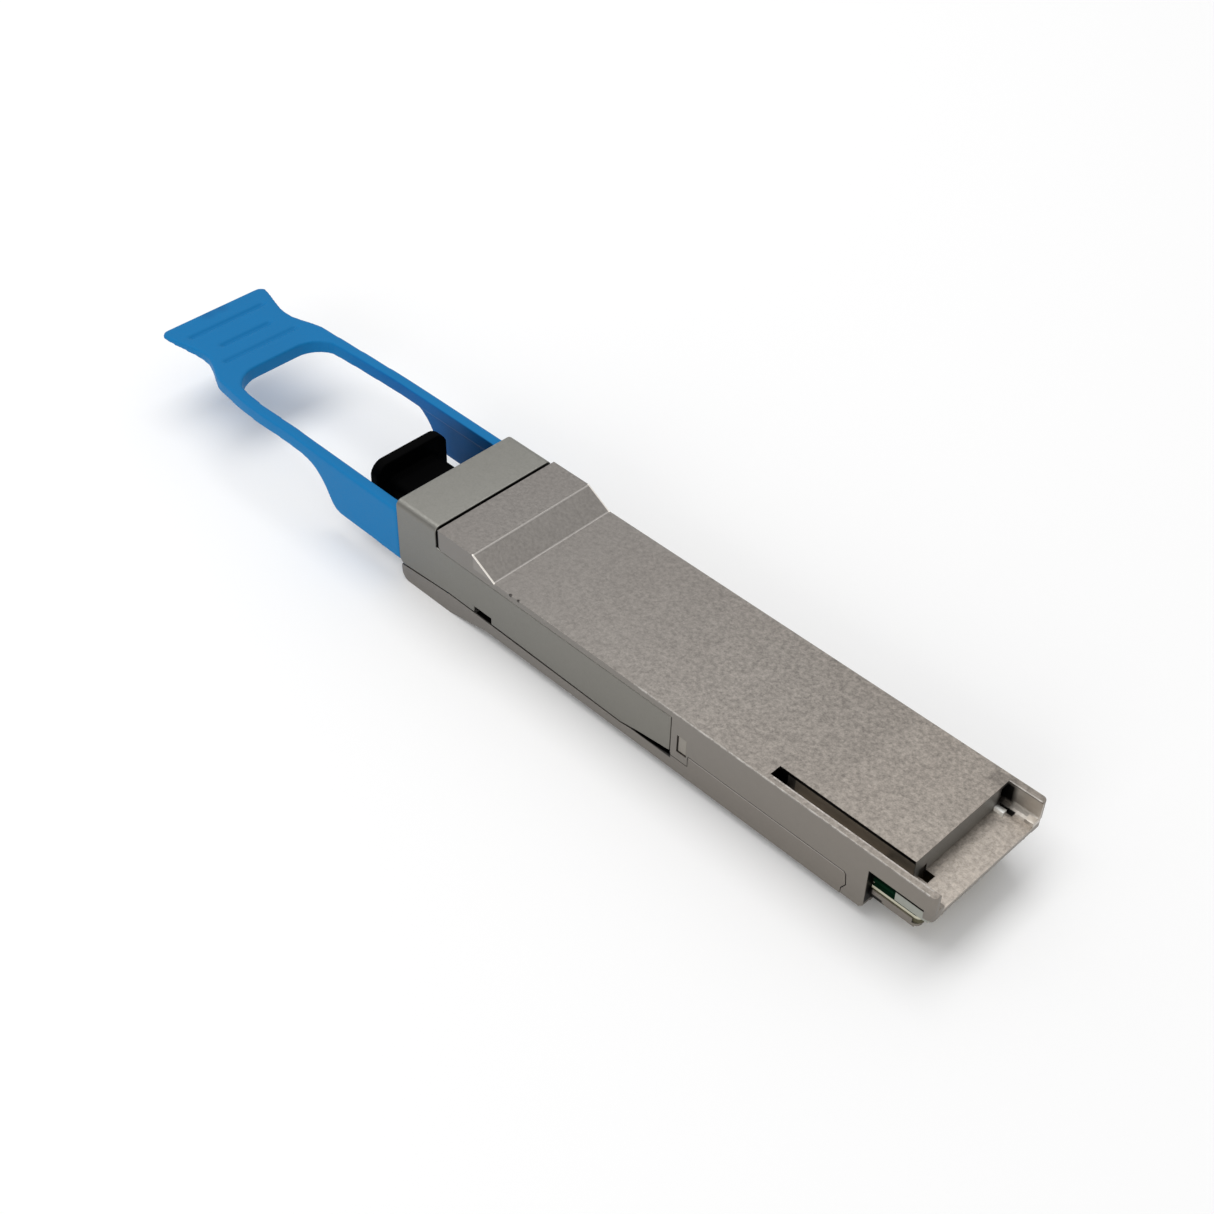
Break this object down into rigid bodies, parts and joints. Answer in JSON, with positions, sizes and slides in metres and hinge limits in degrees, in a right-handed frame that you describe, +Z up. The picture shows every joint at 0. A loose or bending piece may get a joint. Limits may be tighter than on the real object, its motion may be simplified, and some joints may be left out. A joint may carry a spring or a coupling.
{
  "type": "optical transceiver module",
  "caption": "Pluggable optical transceiver with a duplex port at the nose, a card edge at the rear, a sprung release slider with a pull tab, and a removable dust plug.",
  "frame": {"origin": "middle of the underside at the cage stop, where the top ramp meets the heat plate", "axes": "+X is the insertion direction, towards the card edge; +Z is up, out of the heat plate; the pull tab points along -X"},
  "size_m": [0.1278, 0.0184, 0.0117],
  "materials": {
    "shell_cast": "satin nickel with a fine cast grain",
    "shell_side": "satin nickel",
    "slider_metal": "smooth satin nickel",
    "tab_plastic": "satin moulded blue",
    "plug_rubber": "matt black rubber",
    "port_plastic": "dark moulded polymer",
    "ceramic": "polished ceramic",
    "gold_plate": "gold plate",
    "bright_metal": "bright metal",
    "flex_film": "amber film",
    "board_green": "solder mask",
    "chip_black": "moulded package",
    "passive_parts": "ceramic chips with tinned ends",
    "thermal_pad": "soft gap pad",
    "spring_steel": "bright wire",
    "screw_dark": "dark plated",
    "gasket_rubber": "conductive elastomer"
  },
  "bodies": {
    "housing": {"upper_housing": "shell_cast", "lower_housing": "shell_side", "lc_receptacle": "port_plastic", "ferrule_sleeve_tx": "ceramic", "ferrule_sleeve_rx": "ceramic", "transmit_optics": "gold_plate", "receive_optics": "bright_metal", "transmit_flex": "flex_film", "receive_flex": "flex_film", "circuit_board": "board_green", "card_contacts_top": "gold_plate", "card_contacts_bottom": "gold_plate", "signal_processor": "chip_black", "laser_driver": "chip_black", "receive_amplifier": "chip_black", "control_chip": "chip_black", "board_passives": "passive_parts", "thermal_pad_processor": "thermal_pad", "thermal_pad_optics": "thermal_pad", "return_spring_left": "spring_steel", "return_spring_right": "spring_steel", "cover_screws": "screw_dark", "optics_clamp": "bright_metal", "shield_gasket": "gasket_rubber", "side_latch_pad_left": "screw_dark", "side_latch_pad_right": "screw_dark"},
    "slider": {"release_slider": "slider_metal", "pull_tab": "tab_plastic"},
    "plug": {"dust_plug": "plug_rubber"}
  },
  "joints": [
    {"name": "slider_release", "type": "slide", "parent": "housing", "child": "slider", "axis": [-1, 0, 0], "range_m": [0, 0.0021], "stiffness_N_per_m": 1500, "springref_m": -0.002, "deforming": ["return_spring_left", "return_spring_right"]},
    {"name": "plug_pull", "type": "slide", "parent": "housing", "child": "plug", "axis": [-1, 0, 0], "range_m": [0, 0.018]}
  ]
}
